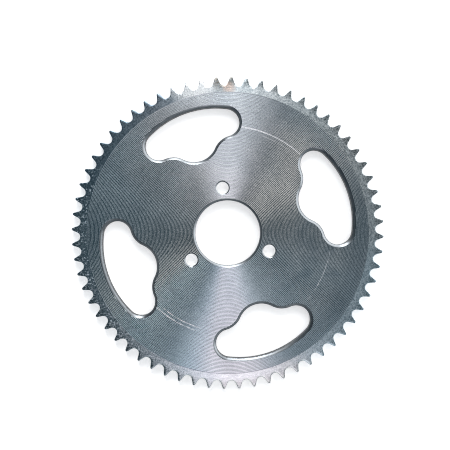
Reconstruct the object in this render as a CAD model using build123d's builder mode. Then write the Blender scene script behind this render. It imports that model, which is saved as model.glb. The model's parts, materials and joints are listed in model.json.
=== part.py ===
from build123d import *
from math import cos, radians, sin, sqrt, tan
import os

# Rear sprocket: one flat steel plate with roller-chain teeth, a centre bore, three bolt
# holes and four lightening windows. Millimetres. +Z is the bore's axis, and the plate
# lies flat with its seat face at z = 0. The origin is the bore's centre on that face.
# The windows are centred on the X and Y axes. They are punched from the front, so their
# front edges are rolled round and their back edges are only broken.

# Chain and teeth
TEETH = 64
CHAIN_PITCH = 8.0
ROLLER_DIAMETER = 4.77
SEAT_CLEARANCE = 0.02
FLANK_ANGLE = 23.5
TIP_CROWN_HEIGHT = 0.75
FIRST_TOOTH_ANGLE = 1.35

# Plate
THICKNESS = 4.3
BEVEL_START_RADIUS = 75.3
BEVEL_DEPTH_AT_TIP = 1.0
BACK_EDGE_BREAK = 0.3

# Hub fit
BORE_DIAMETER = 35.0
BORE_EDGE_ROUND = 1.0
BOLT_COUNT = 3
BOLT_CIRCLE_DIAMETER = 48.5
BOLT_HOLE_DIAMETER = 6.6
BOLT_HOLE_EDGE_ROUND = 0.7
FIRST_BOLT_ANGLE = 76.8

# Windows, as the one on the +X axis: a nose that points at the bore, between two round
# lobes, with a saddle of metal on each side of the nose and one long arc outside
WINDOW_COUNT = 4
NOSE_CENTRE_RADIUS = 53.5
NOSE_RADIUS = 12.4
LOBE_CENTRE = (56.25, 18.8)
LOBE_RADIUS = 7.65
SADDLE_RADIUS = 11.5
WINDOW_REACH = 68.3
WINDOW_EDGE_ROUND = 1.5

# Worked out from the above
TOOTH_STEP = 360 / TEETH
PITCH_RADIUS = CHAIN_PITCH / 2 / sin(radians(TOOTH_STEP / 2))
TIP_RADIUS = CHAIN_PITCH / 2 * (0.6 + 1 / tan(radians(TOOTH_STEP / 2)))
SEAT_RADIUS = ROLLER_DIAMETER / 2 + SEAT_CLEARANCE
ROOT_RADIUS = PITCH_RADIUS - SEAT_RADIUS
BEVEL_SLOPE = BEVEL_DEPTH_AT_TIP / (TIP_RADIUS - BEVEL_START_RADIUS)


def flipped(point):
    """The point mirrored across the X axis."""
    return Vector(point.X, -point.Y)


def touching(centre, radius, other):
    """The point of a circle that lies towards another circle's centre."""
    return centre + (other - centre).normalized() * radius


def toothed_outline():
    """The closed line round all the teeth: seat, flank, crowned tip and flank, repeated."""
    flank_start = Vector(
        PITCH_RADIUS - SEAT_RADIUS * sin(radians(FLANK_ANGLE)),
        SEAT_RADIUS * cos(radians(FLANK_ANGLE)),
    )
    flank_rise = TIP_RADIUS - TIP_CROWN_HEIGHT - flank_start.X
    flank_end = flank_start + Vector(flank_rise, flank_rise * tan(radians(FLANK_ANGLE)))
    root = Vector(ROOT_RADIUS, 0)
    tip = Vector(TIP_RADIUS, 0).rotate(Axis.Z, TOOTH_STEP / 2)
    next_flank_end = flipped(flank_end).rotate(Axis.Z, TOOTH_STEP)
    for gap in range(TEETH):
        angle = FIRST_TOOTH_ANGLE + (gap + 0.5) * TOOTH_STEP
        low_end, low_start, seat, high_start, high_end, crown, next_end = (
            point.rotate(Axis.Z, angle)
            for point in (
                flipped(flank_end),
                flipped(flank_start),
                root,
                flank_start,
                flank_end,
                tip,
                next_flank_end,
            )
        )
        Line(low_end, low_start)
        ThreePointArc(low_start, seat, high_start)
        Line(high_start, high_end)
        ThreePointArc(high_end, crown, next_end)


def window_outline():
    """The closed line round the window on the +X axis, all arcs that touch each other."""
    nose = Vector(NOSE_CENTRE_RADIUS, 0)
    lobe = Vector(*LOBE_CENTRE)

    # The saddle's arc touches the nose and the lobe from outside
    apart = (lobe - nose).length
    nose_reach = NOSE_RADIUS + SADDLE_RADIUS
    lobe_reach = LOBE_RADIUS + SADDLE_RADIUS
    along = (apart**2 + nose_reach**2 - lobe_reach**2) / (2 * apart)
    across = sqrt(nose_reach**2 - along**2)
    nose_to_lobe = (lobe - nose).normalized()
    saddle = nose + nose_to_lobe * along + nose_to_lobe.rotate(Axis.Z, 90) * across

    # The outer arc reaches WINDOW_REACH and holds both lobes from inside
    lobe_limit = WINDOW_REACH - LOBE_RADIUS
    outer_x = (lobe_limit**2 - lobe.length**2) / (2 * (lobe_limit - lobe.X))
    outer = Vector(outer_x, 0)

    nose_end = touching(nose, NOSE_RADIUS, saddle)
    saddle_end = touching(lobe, LOBE_RADIUS, saddle)
    lobe_end = lobe + (lobe - outer).normalized() * LOBE_RADIUS
    saddle_top = saddle + (nose_end - saddle + saddle_end - saddle).normalized() * SADDLE_RADIUS
    lobe_side = lobe + (saddle_end - lobe + lobe_end - lobe).normalized() * LOBE_RADIUS

    ThreePointArc(flipped(nose_end), (NOSE_CENTRE_RADIUS - NOSE_RADIUS, 0), nose_end)
    ThreePointArc(nose_end, saddle_top, saddle_end)
    ThreePointArc(saddle_end, lobe_side, lobe_end)
    ThreePointArc(lobe_end, (WINDOW_REACH, 0), flipped(lobe_end))
    ThreePointArc(flipped(lobe_end), flipped(lobe_side), flipped(saddle_end))
    ThreePointArc(flipped(saddle_end), flipped(saddle_top), flipped(nose_end))


def break_edges(part, front_round):
    """Round the front edges of the cut just made, and chamfer its back edges."""
    rings = part.edges(Select.LAST).group_by(Axis.Z)
    fillet(rings[-1], front_round)
    chamfer(rings[0], BACK_EDGE_BREAK)


with BuildPart() as sprocket_plate:
    # Toothed blank, thinned on both sides from the bevel's start to the tips
    with BuildSketch():
        with BuildLine():
            toothed_outline()
        make_face()
    extrude(amount=THICKNESS)

    rim_radius = TIP_RADIUS + 1
    rim_depth = BEVEL_SLOPE * (rim_radius - BEVEL_START_RADIUS)
    with BuildSketch(Plane.XZ):
        with BuildLine():
            Polyline(
                (0, 0),
                (BEVEL_START_RADIUS, 0),
                (rim_radius, rim_depth),
                (rim_radius, THICKNESS - rim_depth),
                (BEVEL_START_RADIUS, THICKNESS),
                (0, THICKNESS),
                close=True,
            )
        make_face()
    revolve(axis=Axis.Z, mode=Mode.INTERSECT)

    # Windows
    with BuildSketch(mode=Mode.PRIVATE) as window:
        with BuildLine():
            window_outline()
        make_face()
    with BuildSketch():
        with PolarLocations(0, WINDOW_COUNT):
            add(window.sketch)
    extrude(amount=THICKNESS, mode=Mode.SUBTRACT)
    break_edges(sprocket_plate, WINDOW_EDGE_ROUND)

    # Centre bore
    Hole(BORE_DIAMETER / 2)
    break_edges(sprocket_plate, BORE_EDGE_ROUND)

    # Bolt holes
    with PolarLocations(BOLT_CIRCLE_DIAMETER / 2, BOLT_COUNT, start_angle=FIRST_BOLT_ANGLE):
        Hole(BOLT_HOLE_DIAMETER / 2)
    break_edges(sprocket_plate, BOLT_HOLE_EDGE_ROUND)

sprocket_plate.part.label = "sprocket_plate"

os.makedirs("parts", exist_ok=True)
export_step(sprocket_plate.part, "parts/sprocket_plate.step")
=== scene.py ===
import bpy
import json
import math
import numpy as np
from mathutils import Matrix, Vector

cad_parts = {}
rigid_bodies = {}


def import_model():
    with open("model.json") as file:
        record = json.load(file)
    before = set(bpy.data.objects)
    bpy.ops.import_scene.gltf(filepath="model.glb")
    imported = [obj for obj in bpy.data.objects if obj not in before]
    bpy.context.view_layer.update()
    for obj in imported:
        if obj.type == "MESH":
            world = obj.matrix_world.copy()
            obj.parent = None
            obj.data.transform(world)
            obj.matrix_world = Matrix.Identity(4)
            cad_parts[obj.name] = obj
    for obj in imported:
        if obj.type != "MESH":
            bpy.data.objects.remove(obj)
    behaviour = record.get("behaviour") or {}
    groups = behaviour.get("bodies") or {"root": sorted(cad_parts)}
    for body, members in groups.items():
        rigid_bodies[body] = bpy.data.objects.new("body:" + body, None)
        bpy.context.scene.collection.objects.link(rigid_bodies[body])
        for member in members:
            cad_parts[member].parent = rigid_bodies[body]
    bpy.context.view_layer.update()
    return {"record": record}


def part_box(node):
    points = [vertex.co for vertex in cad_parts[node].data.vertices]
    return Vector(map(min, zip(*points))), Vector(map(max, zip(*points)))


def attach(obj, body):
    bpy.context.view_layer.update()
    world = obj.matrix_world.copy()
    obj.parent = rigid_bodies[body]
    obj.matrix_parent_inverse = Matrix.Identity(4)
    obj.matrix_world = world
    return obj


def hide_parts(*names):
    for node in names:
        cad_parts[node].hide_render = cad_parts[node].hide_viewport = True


# The visual model of a turned, zinc-plated rear sprocket. Metres, in the CAD's frame:
# +Z is the bore's axis, the seat face is at z = 0 and the windows lie on the X and Y axes.
# One closed mesh stands for the plate. Its turned grooves, rolled cut edges, bevelled rim
# and rounded teeth are real geometry, and the plating's finer marks are in materials.
# A "picture" angle runs anticlockwise from the picture's right, and an azimuth from +X.

# The default scene's objects would count as pieces
for thing in list(bpy.data.objects):
    bpy.data.objects.remove(thing)

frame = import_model()

MM = 0.001
NODE = "sprocket_plate"
mounts = {mount["name"]: mount for mount in frame["record"]["mounts"]}
low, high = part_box(NODE)
THICKNESS = high.z - low.z
BORE_RADIUS = mounts["bore"]["dims"]["r_mm"] * MM
BOLT_CIRCLE_RADIUS = mounts["bolt_circle"]["dims"]["pcd_mm"] / 2 * MM
BOLT_HOLE_RADIUS = mounts["bolt_circle"]["dims"]["hole_r_mm"] * MM
BOLT_COUNT = mounts["bolt_circle"]["dims"]["count"]

# The CAD's other driving dimensions, which the record doesn't hold
TEETH = 64
CHAIN_PITCH = 8.0 * MM
SEAT_RADIUS = (4.77 / 2 + 0.02) * MM
FLANK_ANGLE = math.radians(23.5)
TIP_CROWN_HEIGHT = 0.75 * MM
FIRST_TOOTH_ANGLE = math.radians(1.35)
BEVEL_START_RADIUS = 75.3 * MM
BEVEL_DEPTH_AT_TIP = 1.0 * MM
FIRST_BOLT_ANGLE = math.radians(76.8)
WINDOW_COUNT = 4
NOSE_CENTRE_RADIUS = 53.5 * MM
NOSE_RADIUS = 12.4 * MM
LOBE_CENTRE = np.array((56.25, 18.8)) * MM
LOBE_RADIUS = 7.65 * MM
SADDLE_RADIUS = 11.5 * MM
WINDOW_REACH = 68.3 * MM
BACK_EDGE_BREAK = 0.3 * MM
WINDOW_ROLL = 1.5 * MM
BORE_ROLL = 1.0 * MM
BOLT_HOLE_ROLL = 0.7 * MM

# Worked out from them
TOOTH_STEP = math.tau / TEETH
PITCH_RADIUS = CHAIN_PITCH / 2 / math.sin(TOOTH_STEP / 2)
TIP_RADIUS = CHAIN_PITCH / 2 * (0.6 + 1 / math.tan(TOOTH_STEP / 2))
BEVEL_SLOPE = BEVEL_DEPTH_AT_TIP / (TIP_RADIUS - BEVEL_START_RADIUS)

# Surface detail that only the visual model has
GROOVE_PITCH = 0.717 * MM
FRONT_GROOVE_DEPTH = 0.085 * MM
FRONT_DEPTH_SPREAD = (0.92, 1.08)
BACK_GROOVE_DEPTH = 0.07 * MM
BACK_DEPTH_SPREAD = (0.7, 1.2)
TOOTH_EDGE_ROUND = 0.3 * MM
ROLL_START_ANGLE = math.radians(50)
ROLL_END_ANGLE = math.radians(66)
DISC_SEGMENTS = 4 * TEETH
RUST_SPOT = (26.0 * MM, 78.8 * MM, THICKNESS)
RUST_SMEAR = (27.0 * MM, 72.6 * MM, THICKNESS)
# Where a painted highlight lies on the top teeth
PAINTED_HIGHLIGHT_SPOT = (9.0 * MM, 83.0 * MM, THICKNESS)

# The picture
IMAGE_TURN = math.radians(-19.8)
CAMERA_HEIGHT = 300 * MM
VIEW_WIDTH = 240.525 * MM
CAMERA_ASIDE = -1.44315 * MM
CAMERA_ABOVE = 4.22255 * MM

# The studio's colours
CEILING_DIM = (0.04, 0.068, 0.083, 1)
CEILING_BRIGHT = (0.18, 0.205, 0.22, 1)
TOP_FAN = (1.40, 1.38, 1.40, 1)
BOTTOM_FAN = (1.80, 1.62, 1.82, 1)
LOW_BOTTOM_FAN = (2.3, 2.3, 2.3, 1)
NARROW_FAN = (0.8, 0.82, 0.85, 1)
DARK_GAP = (0.02, 0.03, 0.035, 1)
UPPER_STRIP = (2.55, 2.38, 2.22, 1)
LOWER_STRIP = (1.36, 1.38, 1.42, 1)
WALL_DIM = (0.16, 0.19, 0.21, 1)
WALL_BRIGHT = (0.50, 0.55, 0.58, 1)
WALL_BRIGHTEST = (2.9, 2.9, 2.9, 1)
HORIZON = (0.95, 0.96, 0.97, 1)


def picture_direction(degrees):
    """A level direction, at an angle from the picture's right."""
    angle = IMAGE_TURN + math.radians(degrees)
    return (math.cos(angle), math.sin(angle), 0)


def unit(vectors):
    """The vectors, each scaled to length 1."""
    return vectors / np.linalg.norm(vectors, axis=-1, keepdims=True)


def arc(centre, radius, start, end, steps):
    """Points of the shorter arc from start to end, without its end point."""
    first = math.atan2(start[1] - centre[1], start[0] - centre[0])
    last = math.atan2(end[1] - centre[1], end[0] - centre[0])
    sweep = (last - first + math.pi) % math.tau - math.pi
    angles = first + sweep * np.arange(steps) / steps
    return np.stack((centre[0] + radius * np.cos(angles), centre[1] + radius * np.sin(angles)), 1)


def rotated(points, angle):
    """2-D points turned about the origin."""
    turn = np.array(((math.cos(angle), math.sin(angle)), (-math.sin(angle), math.cos(angle))))
    return points @ turn


def outward_normals(points):
    """Normals of a closed anticlockwise outline, pointing out of it."""
    along = unit(np.roll(points, -1, 0) - points) + unit(points - np.roll(points, 1, 0))
    return unit(np.stack((along[:, 1], -along[:, 0]), 1))


def tooth_outline():
    """The toothed outline, anticlockwise: for each gap a seat, a flank, a crown and a flank."""
    flank_start = np.array(
        (
            PITCH_RADIUS - SEAT_RADIUS * math.sin(FLANK_ANGLE),
            SEAT_RADIUS * math.cos(FLANK_ANGLE),
        )
    )
    rise = TIP_RADIUS - TIP_CROWN_HEIGHT - flank_start[0]
    flank_end = flank_start + rise * np.array((1, math.tan(FLANK_ANGLE)))
    flip = np.array((1, -1))
    tip = TIP_RADIUS * np.array((math.cos(TOOTH_STEP / 2), math.sin(TOOTH_STEP / 2)))
    next_end = rotated((flank_end * flip)[None], TOOTH_STEP)[0]

    # The crown is the arc through both flank ends and the tip
    half_chord = np.linalg.norm(next_end - flank_end) / 2
    height = np.linalg.norm(tip - (next_end + flank_end) / 2)
    crown_radius = (half_chord**2 + height**2) / (2 * height)
    crown_centre = tip * (1 - crown_radius / TIP_RADIUS)

    seat = arc((PITCH_RADIUS, 0), SEAT_RADIUS, flank_start * flip, flank_start, 8)
    flank = flank_start + (flank_end - flank_start) * np.array(((0,), (0.5,)))
    crown = arc(crown_centre, crown_radius, flank_end, next_end, 4)
    next_flank = rotated(flank[::-1] * flip, TOOTH_STEP)
    falling_flank = np.concatenate((next_end[None], next_flank[:1]))
    one = np.concatenate((seat, flank, crown, falling_flank))
    gaps = FIRST_TOOTH_ANGLE + (np.arange(TEETH) + 0.5) * TOOTH_STEP
    return np.concatenate([rotated(one, gap) for gap in gaps])


def window_outline():
    """The outline of the window on the +X axis, anticlockwise: arcs that touch each other."""
    nose = np.array((NOSE_CENTRE_RADIUS, 0))
    apart = np.linalg.norm(LOBE_CENTRE - nose)
    nose_reach = NOSE_RADIUS + SADDLE_RADIUS
    lobe_reach = LOBE_RADIUS + SADDLE_RADIUS
    along = (apart**2 + nose_reach**2 - lobe_reach**2) / (2 * apart)
    across = math.sqrt(nose_reach**2 - along**2)
    to_lobe = (LOBE_CENTRE - nose) / apart
    saddle = nose + to_lobe * along + np.array((-to_lobe[1], to_lobe[0])) * across
    lobe_limit = WINDOW_REACH - LOBE_RADIUS
    outer_x = (lobe_limit**2 - LOBE_CENTRE @ LOBE_CENTRE) / (2 * (lobe_limit - LOBE_CENTRE[0]))
    outer = np.array((outer_x, 0))
    nose_end = nose + unit(saddle - nose) * NOSE_RADIUS
    saddle_end = LOBE_CENTRE + unit(saddle - LOBE_CENTRE) * LOBE_RADIUS
    lobe_end = LOBE_CENTRE + unit(LOBE_CENTRE - outer) * LOBE_RADIUS
    nose_tip = nose - np.array((NOSE_RADIUS, 0))
    outer_top = np.array((WINDOW_REACH, 0))
    half = np.concatenate(
        (
            arc(nose, NOSE_RADIUS, nose_tip, nose_end, 16),
            arc(saddle, SADDLE_RADIUS, nose_end, saddle_end, 16),
            arc(LOBE_CENTRE, LOBE_RADIUS, saddle_end, lobe_end, 28),
            arc(outer, WINDOW_REACH - outer_x, lobe_end, outer_top, 20),
        )
    )
    mirrored = np.concatenate((half[1:], outer_top[None]))[::-1] * np.array((1, -1))
    whole = np.concatenate((half, mirrored))
    return whole[::-1]


def circle_outline(radius, centre_radius, centre_angle, points=64):
    """A circle, anticlockwise."""
    angles = np.arange(points) * math.tau / points
    centre = centre_radius * np.array((math.cos(centre_angle), math.sin(centre_angle)))
    return centre + radius * np.stack((np.cos(angles), np.sin(angles)), 1)


def cut_section(roll):
    """(offset, z) steps of a cut through the plate, from below its back to above its front.

    The back edge is broken. The front edge is rolled over a width of roll, from a crease
    at the wall to a crisp angle with the face, which was turned after the cut was made.
    """
    beyond = 0.3 * MM
    bend = roll / (math.cos(ROLL_START_ANGLE) - math.cos(ROLL_END_ANGLE))
    steps = [(BACK_EDGE_BREAK + beyond, -beyond), (0.0, BACK_EDGE_BREAK)]
    for turn in np.linspace(ROLL_START_ANGLE, ROLL_END_ANGLE, 7):
        offset = bend * (math.cos(ROLL_START_ANGLE) - math.cos(turn))
        drop = bend * (math.sin(ROLL_END_ANGLE) - math.sin(turn))
        steps.append((offset, THICKNESS - drop))
    steps.append((roll + beyond / 2 * math.tan(ROLL_END_ANGLE), THICKNESS + beyond / 2))
    return steps


def new_object(name, vertices, faces):
    """A mesh object in the scene."""
    mesh = bpy.data.meshes.new(name)
    mesh.from_pydata(vertices, [], faces)
    thing = bpy.data.objects.new(name, mesh)
    bpy.context.scene.collection.objects.link(thing)
    return thing


def rings_to_faces(counts, closed):
    """Faces between neighbouring rings. A ring may hold a whole number of times more points
    than its neighbour, and then each face takes in that many of its edges."""
    starts = np.concatenate(((0,), np.cumsum(counts)))
    faces = []
    pairs = [(i, i + 1) for i in range(len(counts) - 1)]
    if closed:
        pairs.append((len(counts) - 1, 0))
    for one, two in pairs:
        coarse = min(counts[one], counts[two])
        per_one = counts[one] // coarse
        per_two = counts[two] // coarse
        for j in range(coarse):
            first = [starts[one] + (j * per_one + k) % counts[one] for k in range(per_one + 1)]
            second = [starts[two] + (j * per_two + k) % counts[two] for k in range(per_two + 1)]
            faces.append([int(v) for v in first[::-1] + second])
    return faces


def ring_points(radius, z, count):
    """A level circle of points about the Z axis."""
    angles = FIRST_TOOTH_ANGLE + TOOTH_STEP / 2 + np.arange(count) * math.tau / count
    return np.stack((radius * np.cos(angles), radius * np.sin(angles), np.full(count, z)), 1)


def plate_blank():
    """The bored and toothed disc with its turned faces, before its windows are cut."""
    rng = np.random.default_rng(64)
    rings = []

    # Bore, from its back edge to its rolled front edge
    for offset, z in cut_section(BORE_ROLL)[1:-1]:
        rings.append(ring_points(BORE_RADIUS + offset, z, DISC_SEGMENTS))

    # Front face: a ridge and a valley for each groove
    face_start = BORE_RADIUS + BORE_ROLL
    grooves = round((BEVEL_START_RADIUS - face_start) / GROOVE_PITCH)
    pitch = (BEVEL_START_RADIUS - face_start) / grooves
    for groove in range(grooves):
        depth = FRONT_GROOVE_DEPTH * rng.uniform(*FRONT_DEPTH_SPREAD)
        inner = face_start + groove * pitch
        rings.append(ring_points(inner + pitch / 2, THICKNESS - depth, DISC_SEGMENTS))
        rings.append(ring_points(inner + pitch, THICKNESS, DISC_SEGMENTS))

    # Rim: from the bevel's start to the toothed outline, over its edge and down to mid height
    outline = tooth_outline()
    inward = -outward_normals(outline)
    start = ring_points(BEVEL_START_RADIUS + 0.02 * MM, 0.0, len(outline))[:, :2]
    edge = outline + inward * TOOTH_EDGE_ROUND

    def on_bevel(points, drop=0.0):
        radii = np.linalg.norm(points, axis=1)
        depth = BEVEL_SLOPE * (radii - BEVEL_START_RADIUS)
        return np.column_stack((points, THICKNESS - depth - drop))

    rim = [on_bevel(start + (edge - start) * share) for share in (0, 0.4, 0.75, 1)]
    for turn in (math.radians(40), math.radians(90)):
        offset = TOOTH_EDGE_ROUND * (1 - math.sin(turn))
        drop = TOOTH_EDGE_ROUND * (1 - math.cos(turn))
        rim.append(on_bevel(outline + inward * offset, drop))
    rings.extend(rim)

    # Back: the same rim, and shallower grooves
    flip = np.array((1, 1, -1))
    shift = np.array((0, 0, THICKNESS))
    rings.extend(ring * flip + shift for ring in reversed(rim))
    back_start = BORE_RADIUS + BACK_EDGE_BREAK
    grooves = round((BEVEL_START_RADIUS - back_start) / GROOVE_PITCH)
    pitch = (BEVEL_START_RADIUS - back_start) / grooves
    for groove in reversed(range(grooves)):
        depth = BACK_GROOVE_DEPTH * rng.uniform(*BACK_DEPTH_SPREAD)
        inner = back_start + groove * pitch
        rings.append(ring_points(inner + pitch, 0.0, DISC_SEGMENTS))
        rings.append(ring_points(inner + pitch / 2, depth, DISC_SEGMENTS))
    rings.append(ring_points(back_start, 0.0, DISC_SEGMENTS))

    counts = [len(ring) for ring in rings]
    return new_object(NODE + "_visual", np.concatenate(rings), rings_to_faces(counts, True))


def cutters():
    """Closed solids for the windows and the bolt holes, in one object."""
    shapes = [
        (rotated(window_outline(), k * math.tau / WINDOW_COUNT), WINDOW_ROLL)
        for k in range(WINDOW_COUNT)
    ]
    for k in range(BOLT_COUNT):
        angle = FIRST_BOLT_ANGLE + k * math.tau / BOLT_COUNT
        hole = circle_outline(BOLT_HOLE_RADIUS, BOLT_CIRCLE_RADIUS, angle)
        shapes.append((hole, BOLT_HOLE_ROLL))
    vertices = []
    faces = []
    for outline, roll in shapes:
        normals = outward_normals(outline)
        first = len(vertices)
        rings = cut_section(roll)
        for offset, z in rings:
            vertices.extend((x, y, z) for x, y in outline + normals * offset)
        sides = rings_to_faces([len(outline)] * len(rings), False)
        faces.extend([first + v for v in face[::-1]] for face in sides)
        last = len(vertices) - len(outline)
        faces.append([first + k for k in range(len(outline))][::-1])
        faces.append([last + k for k in range(len(outline))])
    return new_object("cutters", vertices, faces)


def cut(plate, tool):
    """Takes the tool's solids out of the plate, and deletes the tool."""
    modifier = plate.modifiers.new("cut", "BOOLEAN")
    modifier.operation = "DIFFERENCE"
    modifier.solver = "MANIFOLD"
    modifier.object = tool
    bpy.context.view_layer.update()
    result = bpy.data.meshes.new_from_object(
        plate.evaluated_get(bpy.context.evaluated_depsgraph_get())
    )
    plate.modifiers.remove(modifier)
    old = plate.data
    plate.data = result
    bpy.data.meshes.remove(old)
    bpy.data.objects.remove(tool)


def give_bore_its_material(mesh, slot):
    """Puts the bore's wall and rolled front edge in a material slot."""
    above_back = 0.01 * MM
    for face in mesh.polygons:
        in_bore = math.hypot(face.center.x, face.center.y) < BORE_RADIUS + BORE_ROLL
        if in_bore and face.center.z > above_back:
            face.material_index = slot


def mark_sharp(mesh):
    """Smooth shading, broken at groove ridges, between the materials and at real corners."""
    sharpest_smooth_angle = math.radians(34)
    ridge_tolerance = 0.004 * MM
    ring_tolerance = 0.02 * MM
    mesh.shade_smooth()
    mesh.set_sharp_from_angle(angle=sharpest_smooth_angle)
    sharp = mesh.attributes["sharp_edge"].data
    flags = np.empty(len(mesh.edges), bool)
    sharp.foreach_get("value", flags)
    points = np.empty(len(mesh.vertices) * 3)
    mesh.vertices.foreach_get("co", points)
    points = points.reshape(-1, 3)
    ends = np.empty(len(mesh.edges) * 2, np.int32)
    mesh.edges.foreach_get("vertices", ends)
    ends = ends.reshape(-1, 2)
    radii = np.linalg.norm(points[:, :2], axis=1)
    at_front = np.abs(points[:, 2] - THICKNESS) < ridge_tolerance
    on_face = at_front | (points[:, 2] < ridge_tolerance)
    level = on_face[ends].all(1)
    round_the_bore = np.abs(radii[ends[:, 0]] - radii[ends[:, 1]]) < ring_tolerance
    flags |= level & round_the_bore

    # Edges between a turned face and a cut
    kinds = np.empty(len(mesh.polygons), np.int32)
    mesh.polygons.foreach_get("material_index", kinds)
    loop_edges = np.empty(len(mesh.loops), np.int32)
    mesh.loops.foreach_get("edge_index", loop_edges)
    sizes = np.empty(len(mesh.polygons), np.int32)
    mesh.polygons.foreach_get("loop_total", sizes)
    per_loop = np.repeat(kinds, sizes)
    lowest = np.full(len(mesh.edges), 9)
    highest = np.full(len(mesh.edges), -1)
    np.minimum.at(lowest, loop_edges, per_loop)
    np.maximum.at(highest, loop_edges, per_loop)
    flags |= lowest != highest
    sharp.foreach_set("value", flags)


class Nodes:
    """A short way to write a material's node tree."""

    def __init__(self, tree):
        self.tree = tree

    def add(self, kind, inputs=None, **settings):
        node = self.tree.nodes.new(kind)
        for key, value in settings.items():
            setattr(node, key, value)
        for key, value in (inputs or {}).items():
            socket = node.inputs[key]
            if isinstance(value, bpy.types.NodeSocket):
                self.tree.links.new(value, socket)
            else:
                socket.default_value = value
        return node

    def math(self, operation, *values):
        inputs = dict(enumerate(values))
        return self.add("ShaderNodeMath", inputs, operation=operation).outputs[0]

    def noise(self, vector, scale, detail=2.0, roughness=0.5):
        inputs = {"Vector": vector, "Scale": scale, "Detail": detail, "Roughness": roughness}
        return self.add("ShaderNodeTexNoise", inputs).outputs["Fac"]

    def ramp(self, value, low, high, to_low=0.0, to_high=1.0):
        inputs = {
            "Value": value,
            "From Min": low,
            "From Max": high,
            "To Min": to_low,
            "To Max": to_high,
        }
        return self.add("ShaderNodeMapRange", inputs).outputs["Result"]

    def smooth(self, value, low, high):
        inputs = {"Value": value, "From Min": low, "From Max": high}
        node = self.add("ShaderNodeMapRange", inputs, interpolation_type="SMOOTHSTEP")
        return node.outputs["Result"]

    def along(self, vector, axis):
        """How far a vector reaches along an axis."""
        node = self.add("ShaderNodeVectorMath", {0: vector, 1: axis}, operation="DOT_PRODUCT")
        return node.outputs["Value"]

    def near(self, vector, spot):
        """How far a place is from a spot."""
        node = self.add("ShaderNodeVectorMath", {0: vector, 1: spot}, operation="DISTANCE")
        return node.outputs["Value"]

    def mix(self, share, one, two):
        node = self.add("ShaderNodeMix", data_type="RGBA")
        sockets = (node.inputs[0], node.inputs[6], node.inputs[7])
        for socket, value in zip(sockets, (share, one, two)):
            if isinstance(value, bpy.types.NodeSocket):
                self.tree.links.new(value, socket)
            else:
                socket.default_value = value
        return node.outputs[2]


def start_material(material):
    """Empties a material and gives it a Principled shader. Returns its nodes and shader."""
    material.use_nodes = True
    tree = material.node_tree
    tree.nodes.clear()
    nodes = Nodes(tree)
    shader = nodes.add("ShaderNodeBsdfPrincipled")
    output = nodes.add("ShaderNodeOutputMaterial")
    tree.links.new(shader.outputs[0], output.inputs["Surface"])
    return nodes, shader


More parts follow.
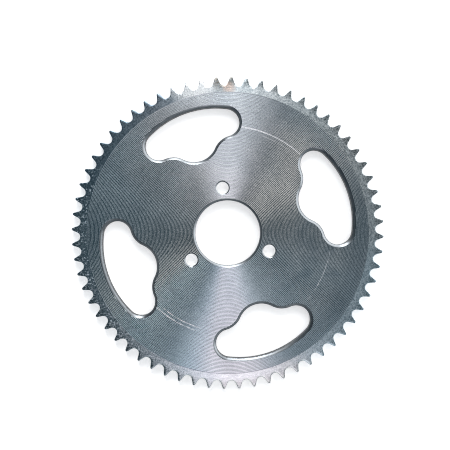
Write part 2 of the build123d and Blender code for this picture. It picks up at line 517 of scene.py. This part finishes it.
def turned_zinc(material):
    """Zinc plating over turned grooves, with a plainer and more worn rim."""
    nodes, shader = start_material(material)
    place = nodes.add("ShaderNodeTexCoord").outputs["Object"]
    axes = nodes.add("ShaderNodeSeparateXYZ", {0: place})
    x, y = axes.outputs[0], axes.outputs[1]
    squares = nodes.math("ADD", nodes.math("MULTIPLY", x, x), nodes.math("MULTIPLY", y, y))
    radius = nodes.math("SQRT", squares)
    cosine = nodes.math("DIVIDE", x, radius)
    sine = nodes.math("DIVIDE", y, radius)

    def lathe_marks(radial, around):
        """Coordinates that stretch a pattern round the axis."""
        parts = {
            0: nodes.math("MULTIPLY", radius, radial),
            1: nodes.math("MULTIPLY", cosine, around),
            2: nodes.math("MULTIPLY", sine, around),
        }
        return nodes.add("ShaderNodeCombineXYZ", parts).outputs[0]

    def sector(azimuth, half_sweep, softness):
        """1 within half_sweep of an azimuth on the plate, fading to 0. In degrees."""
        around = math.radians(azimuth)
        toward = nodes.math(
            "ADD",
            nodes.math("MULTIPLY", cosine, math.cos(around)),
            nodes.math("MULTIPLY", sine, math.sin(around)),
        )
        widest = math.cos(math.radians(half_sweep + softness))
        return nodes.smooth(toward, widest, math.cos(math.radians(half_sweep)))

    def painted_in_sector(surface, painted_colour, amount, azimuth, half_sweep, softness):
        """The surface's colour, with that share of a painted shade or painted highlight colour over a
        sector of the plate.
        """
        share = nodes.math("MULTIPLY", sector(azimuth, half_sweep, softness), amount)
        return nodes.mix(share, surface, painted_colour)

    def ring_scratch(ring_radius, azimuth, half_sweep):
        """1 on a thin arc that a tool or a bolt head has rubbed bright."""
        off = nodes.math("ABSOLUTE", nodes.math("SUBTRACT", radius, ring_radius))
        on_ring = nodes.ramp(off, 0.5 * MM, 0.15 * MM)
        return nodes.math("MULTIPLY", on_ring, sector(azimuth, half_sweep, 7))

    hairlines = nodes.noise(lathe_marks(9000.0, 6.0), 1.0, 3.0, 0.6)
    streaks = nodes.noise(lathe_marks(1500.0, 22.0), 1.0, 3.0, 0.6)
    clouds = nodes.noise(place, 38.0, 4.0, 0.6)
    specks = nodes.noise(place, 1100.0, 3.0, 0.7)
    tint = nodes.noise(place, 16.0, 2.0)

    # Turned faces, a little duller on the crests than in the valleys
    level = nodes.math("ABSOLUTE", nodes.math("SUBTRACT", axes.outputs[2], THICKNESS / 2))
    ridges = nodes.ramp(level, THICKNESS / 2 - FRONT_GROOVE_DEPTH, THICKNESS / 2)
    shade = nodes.ramp(clouds, 0.3, 0.7)
    valleys = nodes.mix(shade, (0.46, 0.485, 0.50, 1), (0.66, 0.68, 0.69, 1))
    crests = nodes.mix(shade, (0.36, 0.39, 0.405, 1), (0.52, 0.55, 0.56, 1))
    face = nodes.mix(ridges, valleys, crests)

    # Rings rubbed bright, all but the last broken up by the lathe's streaks
    worn = nodes.math("MULTIPLY", ring_scratch(55.0 * MM, 42, 9), 0.35)
    worn = nodes.math("MAXIMUM", worn, ring_scratch(55.5 * MM, -44, 10))
    worn = nodes.math("MAXIMUM", worn, ring_scratch(54.8 * MM, 218, 9))
    worn = nodes.math("MAXIMUM", worn, ring_scratch(52.9 * MM, 222, 7))
    worn = nodes.math("MULTIPLY", worn, nodes.ramp(streaks, 0.38, 0.6))
    worn = nodes.math("MAXIMUM", worn, ring_scratch(57.1 * MM, 48, 16))

    # Blots and an outer band, darker towards the picture's right, and two wedges of painted teal
    # shade
    rightward = nodes.along(place, picture_direction(0))
    blots = nodes.ramp(nodes.noise(place, 70.0, 3.0, 0.55), 0.5, 0.66, 0, 0.6)
    blots_to_the_right = nodes.math("MULTIPLY", blots, nodes.smooth(rightward, 10 * MM, 60 * MM))
    outer = nodes.smooth(radius, 58 * MM, 72 * MM)
    to_the_right = nodes.smooth(rightward, 0, 50 * MM)
    darker_outer_right = nodes.math("MULTIPLY", nodes.math("MULTIPLY", outer, to_the_right), 0.55)
    face = nodes.mix(nodes.math("MAXIMUM", blots_to_the_right, darker_outer_right), face, (0.17, 0.225, 0.27, 1))
    # Two wedges of painted teal shade, at the lower right and the lower left
    face = painted_in_sector(face, (0.14, 0.25, 0.31, 1), 0.3, 294, 14, 22)
    face = painted_in_sector(face, (0.25, 0.46, 0.58, 1), 0.34, 218, 8, 18)
    face = nodes.mix(worn, face, (0.97, 0.98, 1.0, 1))

    # Rim: mottled, with dark tips, a stretch of painted shade, two stretches and a spot of painted
    # highlight, rusty teeth with an orange smear below them, and pale flecks
    coarse = nodes.ramp(streaks, 0.35, 0.65, 0, 0.5)
    mottle = nodes.math("ADD", coarse, nodes.ramp(specks, 0.38, 0.62, 0, 0.5))
    rim = nodes.mix(mottle, (0.32, 0.35, 0.37, 1), (0.82, 0.85, 0.86, 1))
    tips = nodes.ramp(radius, 77.8 * MM, 80.8 * MM)
    tips = nodes.math("MULTIPLY", tips, nodes.ramp(specks, 0.75, 0.4))
    rim = nodes.mix(tips, rim, (0.17, 0.17, 0.165, 1))
    # Painted shade on the bevel at the upper left, and painted highlights at the bottom and, bluish,
    # at the lower right
    rim = painted_in_sector(rim, (0.10, 0.13, 0.18, 1), 0.75, 116, 14, 36)
    rim = painted_in_sector(rim, (0.97, 0.98, 0.98, 1), 0.35, 268, 14, 26)
    rim = painted_in_sector(rim, (0.50, 0.80, 0.97, 1), 0.3, 308, 14, 20)
    # A painted highlight over the top teeth
    painted_highlight = nodes.ramp(nodes.near(place, PAINTED_HIGHLIGHT_SPOT), 15 * MM, 8 * MM, 0.0, 0.85)
    rim = nodes.mix(painted_highlight, rim, (0.86, 0.86, 0.86, 1))
    rust = nodes.ramp(nodes.near(place, RUST_SPOT), 9 * MM, 4 * MM)
    rust = nodes.math("MULTIPLY", rust, nodes.ramp(specks, 0.4, 0.5))
    rim = nodes.mix(rust, rim, (0.14, 0.105, 0.075, 1))
    smear = nodes.ramp(nodes.near(place, RUST_SMEAR), 4.2 * MM, 1.2 * MM, 0.0, 0.6)
    smear = nodes.math("MULTIPLY", smear, nodes.ramp(streaks, 0.3, 0.5, 0.4))
    rim = nodes.mix(smear, rim, (0.74, 0.50, 0.38, 1))
    flecks = nodes.math("MULTIPLY", nodes.ramp(specks, 0.58, 0.64), sector(176, 26, 24))
    rim = nodes.mix(flecks, rim, (0.97, 0.98, 1.0, 1))

    # Both together, with a bluish tint that grows towards the picture's left
    on_rim = nodes.ramp(radius, BEVEL_START_RADIUS, BEVEL_START_RADIUS + 0.3 * MM)
    colour = nodes.mix(on_rim, face, rim)
    left = nodes.smooth(nodes.along(place, picture_direction(190)), 5 * MM, 70 * MM)
    bluish = nodes.ramp(tint, 0.4, 0.6, 0.0, 0.16)
    bluish = nodes.math("ADD", bluish, nodes.math("MULTIPLY", left, 0.22))
    colour = nodes.mix(bluish, colour, (0.38, 0.60, 0.72, 1))
    nodes.tree.links.new(colour, shader.inputs["Base Color"])

    face_rough = nodes.ramp(hairlines, 0.2, 0.8, 0.12, 0.18)
    face_rough = nodes.math("ADD", face_rough, nodes.math("MULTIPLY", worn, 0.07))
    rim_rough = nodes.ramp(specks, 0.3, 0.7, 0.22, 0.34)
    rim_rough = nodes.math("ADD", rim_rough, nodes.math("MULTIPLY", flecks, 0.35))
    shares = {0: on_rim, 2: face_rough, 3: rim_rough}
    rough = nodes.add("ShaderNodeMix", shares, data_type="FLOAT")
    nodes.tree.links.new(rough.outputs[0], shader.inputs["Roughness"])
    shader.inputs["Metallic"].default_value = 1.0
    pits = nodes.math("MULTIPLY", nodes.math("MULTIPLY", specks, on_rim), 12.0)
    height = nodes.math("ADD", hairlines, pits)
    bump = nodes.add("ShaderNodeBump", {"Strength": 0.15, "Distance": 0.00003, "Height": height})
    nodes.tree.links.new(bump.outputs[0], shader.inputs["Normal"])


def cut_edge_zinc(material):
    """The cut edges: smooth, and painted darker than the face as shade, where the face rolls over;
    torn and painted nearly black as shade below that; but painted bright as light in the drilled bolt
    holes."""
    nodes, shader = start_material(material)
    place = nodes.add("ShaderNodeTexCoord").outputs["Object"]
    clouds = nodes.noise(place, 60.0, 4.0, 0.6)
    height = nodes.add("ShaderNodeSeparateXYZ", {0: place}).outputs[2]
    stretch = {0: place, 1: (1, 1, 0.12)}
    upright = nodes.add("ShaderNodeVectorMath", stretch, operation="MULTIPLY").outputs[0]
    scores = nodes.noise(upright, 1600.0, 3.0, 0.6)
    cloudy = nodes.ramp(clouds, 0.3, 0.7)
    # The rolled zinc is painted darker than the face's, as shade. The torn band is real, and is also
    # painted nearly black as shade.
    rolled_zinc_painted_dark = nodes.mix(cloudy, (0.20, 0.22, 0.24, 1), (0.30, 0.32, 0.34, 1))
    torn_and_painted_band = nodes.mix(nodes.ramp(scores, 0.3, 0.7), (0.04, 0.045, 0.05, 1), (0.14, 0.15, 0.155, 1))

    # Of the cut edges, only the bolt holes' lie between these distances from the centre
    distance = nodes.near(place, (0, 0, 0))
    past_bore = nodes.ramp(distance, 19.1 * MM, 19.7 * MM)
    before_windows = nodes.ramp(distance, 34.5 * MM, 32.5 * MM)
    drilled_and_painted_light = nodes.math("MULTIPLY", past_bore, before_windows)
    # Painted light: the bolt holes' walls are bright partly for their drilled finish and partly as
    # painted light
    torn_and_painted_band = nodes.mix(drilled_and_painted_light, torn_and_painted_band, (0.70, 0.72, 0.73, 1))

    # The torn band begins partly down the roll, at an uneven height
    depth = nodes.math("ADD", height, nodes.math("MULTIPLY", scores, 0.5 * MM))
    share = nodes.ramp(depth, THICKNESS - 0.35 * MM, THICKNESS - 0.75 * MM)
    nodes.tree.links.new(nodes.mix(share, rolled_zinc_painted_dark, torn_and_painted_band), shader.inputs["Base Color"])
    rough = nodes.ramp(clouds, 0.3, 0.7, 0.24, 0.32)
    rough = nodes.math("ADD", rough, nodes.math("MULTIPLY", share, 0.2))
    nodes.tree.links.new(rough, shader.inputs["Roughness"])
    shader.inputs["Metallic"].default_value = 1.0
    relief = nodes.math("MULTIPLY", scores, share)
    bump = nodes.add("ShaderNodeBump", {"Strength": 0.5, "Distance": 0.00006, "Height": relief})
    nodes.tree.links.new(bump.outputs[0], shader.inputs["Normal"])


def pale_floor():
    """A wide white floor, just below the plate's seat face."""
    material = bpy.data.materials.new("pale_floor")
    _, shader = start_material(material)
    shader.inputs["Base Color"].default_value = (0.9, 0.9, 0.9, 1)
    shader.inputs["Roughness"].default_value = 0.9
    shader.inputs["Emission Color"].default_value = (1, 1, 1, 1)
    shader.inputs["Emission Strength"].default_value = 0.52
    half = 8.0
    corners = [(-half, -half, 0), (half, -half, 0), (half, half, 0), (-half, half, 0)]
    floor = new_object("floor", corners, [(0, 1, 2, 3)])
    floor.data.materials.append(material)
    gap_below_plate = 0.02 * MM
    floor.location.z = -gap_below_plate


def area_light(name, picture_angle, elevation, distance, size, power):
    """A square soft panel aimed at the plate."""
    up = math.radians(elevation)
    level = Vector(picture_direction(picture_angle))
    spot = distance * (level * math.cos(up) + Vector((0, 0, math.sin(up))))
    data = bpy.data.lights.new(name, "AREA")
    data.size = size
    data.energy = power
    lamp = bpy.data.objects.new(name, data)
    lamp.location = spot
    lamp.rotation_euler = spot.to_track_quat("Z", "Y").to_euler()
    bpy.context.scene.collection.objects.link(lamp)


def camera():
    """Straight above the plate, turned so that the windows lie as they do in the picture."""
    data = bpy.data.cameras.new("camera")
    data.sensor_width = 36
    data.lens = data.sensor_width * CAMERA_HEIGHT / VIEW_WIDTH
    eye = bpy.data.objects.new("camera", data)
    aside = Vector(picture_direction(0)) * CAMERA_ASIDE
    above = Vector(picture_direction(90)) * CAMERA_ABOVE
    eye.location = aside + above + Vector((0, 0, THICKNESS + CAMERA_HEIGHT))
    eye.rotation_euler = (0, 0, IMAGE_TURN)
    bpy.context.scene.collection.objects.link(eye)
    bpy.context.scene.camera = eye


def surroundings():
    """The studio that lights the plate and shows in its grooves: a ceiling and walls that are
    paler to the right, a bright window wall at the upper right, a pale horizon, and fans of
    panels overhead."""
    world = bpy.data.worlds.new("studio")
    bpy.context.scene.world = world
    world.use_nodes = True
    tree = world.node_tree
    tree.nodes.clear()
    nodes = Nodes(tree)
    direction = nodes.add("ShaderNodeTexCoord").outputs["Generated"]
    height = nodes.add("ShaderNodeSeparateXYZ", {0: direction}).outputs[2]
    right = nodes.along(direction, picture_direction(0))
    reach = nodes.math("SQRT", nodes.math("SUBTRACT", 1.0001, nodes.math("MULTIPLY", height, height)))

    def fan(picture_angle, half_width, softness, from_reach, to_reach):
        """1 inside a wedge of directions, between two reaches: the sine of the angle from
        the zenith. Angles are in degrees."""
        toward = nodes.along(direction, picture_direction(picture_angle))
        cosine = nodes.math("DIVIDE", toward, reach)
        widest = math.cos(math.radians(half_width + softness))
        narrowest = math.cos(math.radians(max(half_width - softness, 0)))
        wedge = nodes.smooth(cosine, widest, narrowest)
        start = nodes.smooth(reach, from_reach - 0.02, from_reach + 0.02)
        end = nodes.smooth(reach, to_reach + 0.08, to_reach - 0.08)
        return nodes.math("MULTIPLY", wedge, nodes.math("MULTIPLY", start, end))

    ceiling = nodes.mix(nodes.smooth(right, -0.45, 0.5), CEILING_DIM, CEILING_BRIGHT)
    walls = nodes.mix(nodes.smooth(right, -0.3, 0.9), WALL_DIM, WALL_BRIGHT)
    window = nodes.smooth(nodes.along(direction, picture_direction(45)), 0.3, 0.65)
    window = nodes.math("MULTIPLY", window, nodes.smooth(height, 0.7, 0.48))
    walls = nodes.mix(window, walls, WALL_BRIGHTEST)
    walls = nodes.mix(nodes.smooth(height, 0.25, 0.13), walls, HORIZON)
    colour = nodes.mix(nodes.smooth(height, 0.78, 0.55), ceiling, walls)
    panels = (
        (37, 14, 12, 0.11, 0.27, UPPER_STRIP),
        (318, 18, 14, 0.11, 0.27, LOWER_STRIP),
        (98, 19, 9, 0.03, 0.39, TOP_FAN),
        (85, 11, 10, 0.38, 0.7, TOP_FAN),
        (271, 15, 13, 0.46, 0.7, LOW_BOTTOM_FAN),
        (272, 13, 7, 0.03, 0.6, BOTTOM_FAN),
        (228, 1, 3, 0.03, 0.4, NARROW_FAN),
        (324, 2, 3, 0.03, 0.6, DARK_GAP),
    )
    for *place, panel_colour in panels:
        colour = nodes.mix(fan(*place), colour, panel_colour)
    background = nodes.add("ShaderNodeBackground", {"Color": colour, "Strength": 1.0})
    output = nodes.add("ShaderNodeOutputWorld")
    tree.links.new(background.outputs[0], output.inputs["Surface"])


plate = plate_blank()
tool = cutters()
turned = bpy.data.materials.new("turned_zinc")
edge = bpy.data.materials.new("cut_edge_zinc")
turned_zinc(turned)
cut_edge_zinc(edge)
for thing in (plate, tool):
    thing.data.materials.append(turned)
    thing.data.materials.append(edge)
tool.data.polygons.foreach_set("material_index", [1] * len(tool.data.polygons))
cut(plate, tool)
give_bore_its_material(plate.data, 1)
mark_sharp(plate.data)

camera()
surroundings()
pale_floor()
area_light("top_window", 96, 36, 1.0, 0.35, 3.6)

# Plain tones for a white floor, and no blur across grooves that are hardly a pixel wide
bpy.context.scene.view_settings.view_transform = "Standard"
bpy.context.scene.cycles.pixel_filter_type = "BOX"

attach(plate, "root")
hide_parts(NODE)
